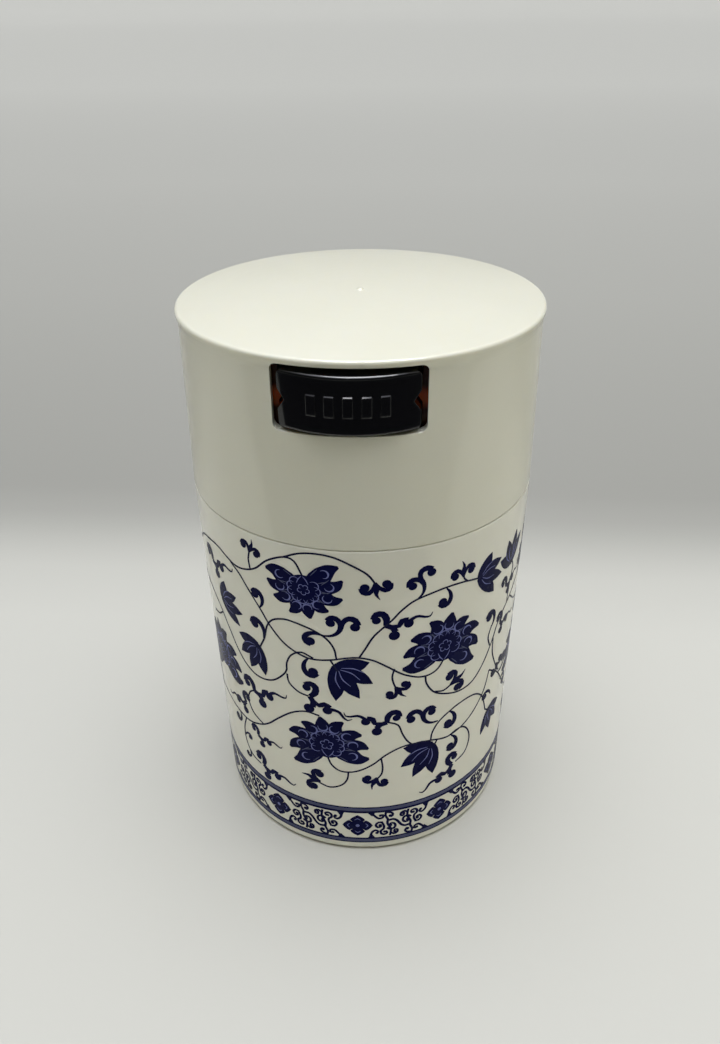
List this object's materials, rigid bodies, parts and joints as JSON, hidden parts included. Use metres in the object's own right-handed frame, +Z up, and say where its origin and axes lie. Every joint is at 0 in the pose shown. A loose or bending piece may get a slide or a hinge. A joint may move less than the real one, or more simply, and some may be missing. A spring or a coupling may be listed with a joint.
{
  "type": "push-button storage canister",
  "caption": "Round plastic storage canister with a pull-off plug cap, a lip seal, and a sprung push button that opens a vent valve.",
  "frame": {"origin": "centre of the base, on the surface that the canister stands on", "axes": "+Z up along the canister's axis, button facing -Y"},
  "size_m": [0.09, 0.0915, 0.1528],
  "materials": {
    "white_plastic": "glossy moulded plastic, slightly translucent warm white, printed in dark and light blue",
    "cap_plastic": "glossy moulded plastic, warm white",
    "amber_plastic": "glossy smoked plastic that shows amber-brown where light passes through",
    "rubber": "soft satin rubber",
    "smoked_plastic": "very glossy smoked plastic, near black",
    "spring_steel": "bright drawn wire",
    "stem_plastic": "satin natural plastic",
    "dark_ink": "glossy screen-printed ink, navy blue",
    "mid_ink": "glossy screen-printed ink, grey-blue",
    "light_ink": "glossy screen-printed ink, light blue"
  },
  "bodies": {
    "cup": {"cup": "white_plastic"},
    "seal": {"lid_seal": "rubber"},
    "cap": {"cap_shell": "cap_plastic", "seal_plate": "amber_plastic", "button_spring_left": "spring_steel", "button_spring_right": "spring_steel", "valve_spring": "spring_steel"},
    "button": {"button": "smoked_plastic"},
    "valve": {"valve_stem": "stem_plastic", "valve_pad": "rubber"}
  },
  "joints": [
    {"name": "cap_lift", "type": "slide", "parent": "cup", "child": "seal", "axis": [0, 0, 1], "range_m": [0, 0.05]},
    {"name": "cap_turn", "type": "hinge", "parent": "seal", "child": "cap", "pos_m": [0, 0, 0.12], "axis": [0, 0, 1], "continuous": true},
    {"name": "button_press", "type": "slide", "parent": "cap", "child": "button", "axis": [0, 1, 0], "range_m": [0, 0.003], "stiffness_N_per_m": 1200, "springref_m": -0.002, "deforming": ["button_spring_left", "button_spring_right"]},
    {"name": "valve_lift", "type": "slide", "parent": "cap", "child": "valve", "axis": [0, 0, 1], "range_m": [0, 0.0018], "stiffness_N_per_m": 500, "springref_m": -0.002, "deforming": ["valve_spring"]}
  ],
  "couplings": [
    {"joint": "valve_lift", "follows": "button_press", "ratio": 0.6}
  ]
}
